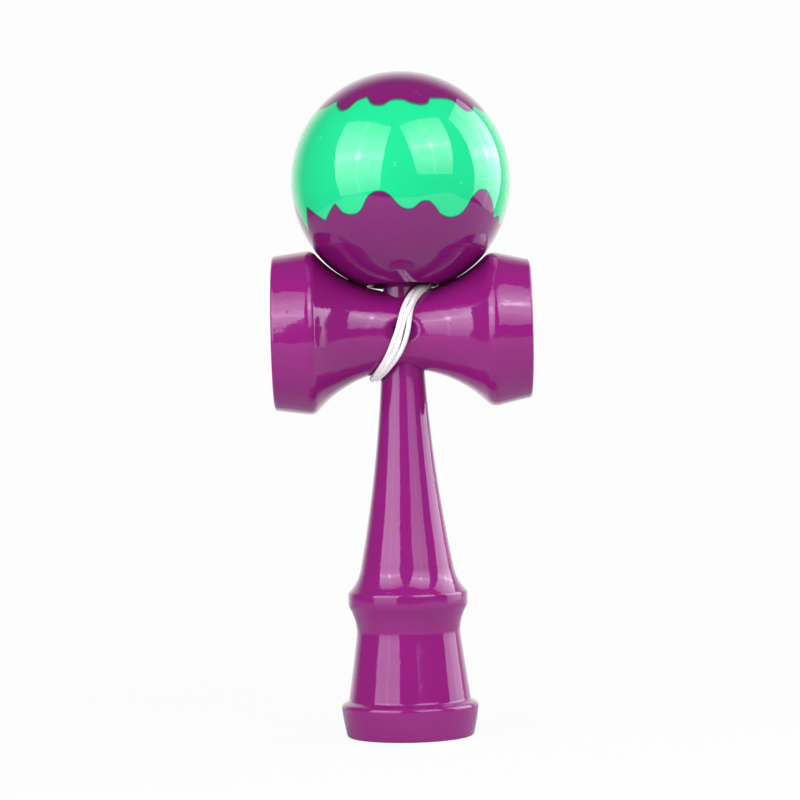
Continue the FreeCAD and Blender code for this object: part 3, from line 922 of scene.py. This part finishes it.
def add_softbox(name, azimuth, elevation, roll, width, height):
    """A rectangular soft light that faces the ball. Its width and height are shares of its distance."""
    deselect()
    bpy.ops.mesh.primitive_plane_add(size=1, location=(0, 0, 0))
    box = bpy.context.object
    box.name = name
    turn, rise = math.radians(azimuth), math.radians(elevation)
    way = Vector((math.sin(turn) * math.cos(rise), -math.cos(turn) * math.cos(rise), math.sin(rise)))
    across = Vector((math.cos(turn), math.sin(turn), 0))
    upright = way.cross(across) * -1
    if upright.z < 0:
        upright = -upright
    frame_axes = Matrix((across, upright, across.cross(upright))).transposed().to_4x4()
    centre = (Vector((BALL_X, 0, BALL_Z)) + way * SOFTBOX_DISTANCE) * MM
    size = Matrix.Diagonal((width * SOFTBOX_DISTANCE * MM, height * SOFTBOX_DISTANCE * MM, 1, 1))
    rolled = Matrix.Rotation(math.radians(roll), 4, "Z")
    box.matrix_world = Matrix.Translation(centre) @ frame_axes @ rolled @ size
    nodes = Nodes(name)
    tree = nodes.tree
    tree.nodes.remove(nodes.shader)
    place = nodes.add("ShaderNodeTexCoord").outputs["Object"]
    split = nodes.add("ShaderNodeSeparateXYZ", {"Vector": place}).outputs
    off_x, off_y = nodes.math("ABSOLUTE", split["X"]), nodes.math("ABSOLUTE", split["Y"])
    off = nodes.add("ShaderNodeVectorMath", {0: place}, operation="LENGTH").outputs["Value"]
    level = SOFTBOX_EVEN
    # Brighter towards its middle line, along the faint cross of its lamps and at its very middle
    for away, reach, share in (
        (off_y, 0.52, 0.75),
        (off_x, 0.045, 0.3),
        (off_y, 0.07, 0.5),
        (off, 0.09, 1.6),
    ):
        glow = nodes.math("MULTIPLY", nodes.ease(away, reach, 0.0), share)
        level = nodes.math("ADD", level, glow)
    level = nodes.math("MULTIPLY", level, SOFTBOX_STRENGTH)
    emission = nodes.add("ShaderNodeEmission", {"Color": (*SOFTBOX_TINT, 1.0), "Strength": level})
    tree.links.new(emission.outputs[0], tree.nodes["Material Output"].inputs["Surface"])
    box.data.materials.append(nodes.material)
    box.visible_camera = False


def add_world():
    """White to the eye, white behind the object in its gloss, and dim in front."""
    world = bpy.data.worlds.new("studio")
    bpy.context.scene.world = world
    world.use_nodes = True
    tree = world.node_tree
    tree.nodes.clear()
    output = tree.nodes.new("ShaderNodeOutputWorld")
    path = tree.nodes.new("ShaderNodeLightPath")
    coord = tree.nodes.new("ShaderNodeTexCoord")
    split = tree.nodes.new("ShaderNodeSeparateXYZ")
    tree.links.new(coord.outputs["Generated"], split.inputs[0])
    behind = tree.nodes.new("ShaderNodeMapRange")
    behind.interpolation_type = "SMOOTHSTEP"
    limits = (*WHITE_BEHIND, ROOM_GLOSS, 1.0)
    for key, value in zip(("From Min", "From Max", "To Min", "To Max"), limits):
        behind.inputs[key].default_value = value
    tree.links.new(split.outputs["Y"], behind.inputs["Value"])
    fill = tree.nodes.new("ShaderNodeBackground")
    fill.inputs["Strength"].default_value = ROOM_FILL
    gloss = tree.nodes.new("ShaderNodeBackground")
    tree.links.new(behind.outputs[0], gloss.inputs["Strength"])
    white = tree.nodes.new("ShaderNodeBackground")
    white.inputs["Strength"].default_value = PAPER_WHITE
    for background in (fill, gloss, white):
        background.inputs["Color"].default_value = (1, 1, 1, 1)
    shiny = tree.nodes.new("ShaderNodeMath")
    shiny.operation = "MAXIMUM"
    tree.links.new(path.outputs["Is Glossy Ray"], shiny.inputs[0])
    tree.links.new(path.outputs["Is Transmission Ray"], shiny.inputs[1])
    first = tree.nodes.new("ShaderNodeMixShader")
    tree.links.new(shiny.outputs[0], first.inputs[0])
    tree.links.new(fill.outputs[0], first.inputs[1])
    tree.links.new(gloss.outputs[0], first.inputs[2])
    second = tree.nodes.new("ShaderNodeMixShader")
    tree.links.new(path.outputs["Is Camera Ray"], second.inputs[0])
    tree.links.new(first.outputs[0], second.inputs[1])
    tree.links.new(white.outputs[0], second.inputs[2])
    tree.links.new(second.outputs[0], output.inputs[0])


def add_floor():
    """A table that looks white and keeps a trace of the object's shadow, and is grey in front in gloss."""
    deselect()
    bpy.ops.mesh.primitive_plane_add(size=1.0, location=(0, 0, 0))
    floor = put(bpy.context.object, FLOOR_PLACE)
    floor.name = "floor"
    nodes = Nodes("floor")
    tree = nodes.tree
    tree.nodes.remove(nodes.shader)
    rays = nodes.add("ShaderNodeLightPath").outputs
    place = nodes.add("ShaderNodeTexCoord").outputs["Object"]
    away = nodes.add("ShaderNodeVectorMath", {0: place}, operation="LENGTH").outputs["Value"]
    ball_middle = (0, 0, BALL_Z * MM)
    from_ball = nodes.add("ShaderNodeVectorMath", {0: place, 1: ball_middle}, operation="SUBTRACT").outputs[0]
    way = nodes.add("ShaderNodeVectorMath", {0: from_ball}, operation="NORMALIZE").outputs[0]
    behind = nodes.ease(nodes.add("ShaderNodeSeparateXYZ", {"Vector": way}).outputs["Y"], *WHITE_BEHIND)
    tone = nodes.mix(rays["Is Glossy Ray"], (FLOOR_TONE,) * 3, (FLOOR_GLOSS,) * 3)
    colour = nodes.mix(rays["Is Camera Ray"], tone, (FLOOR_SEEN,) * 3)
    lit = nodes.add("ShaderNodeBsdfDiffuse", {"Color": colour})
    white = nodes.add("ShaderNodeEmission", {"Strength": PAPER_WHITE})
    fade = nodes.math("MULTIPLY", nodes.ease(away, *FLOOR_FADE), 1.0 - FLOOR_WHITE)
    share = nodes.math("MULTIPLY", rays["Is Camera Ray"], nodes.math("ADD", fade, FLOOR_WHITE))
    share = nodes.math("ADD", share, nodes.math("MULTIPLY", rays["Is Glossy Ray"], behind))
    mix = nodes.add("ShaderNodeMixShader", {0: share})
    tree.links.new(lit.outputs[0], mix.inputs[1])
    tree.links.new(white.outputs[0], mix.inputs[2])
    tree.links.new(mix.outputs[0], tree.nodes["Material Output"].inputs["Surface"])
    floor.data.materials.append(nodes.material)


add_world()
add_floor()
add_softbox("left_softbox", azimuth=-46.0, elevation=22.1, roll=4.0, width=0.985, height=1.4)
add_softbox("right_softbox", azimuth=35.3, elevation=32.0, roll=1.0, width=0.78, height=1.09)
add_softbox("side_softbox", azimuth=106.4, elevation=17.5, roll=-8.0, width=0.87, height=1.35)

bpy.context.scene.view_settings.view_transform = "Standard"
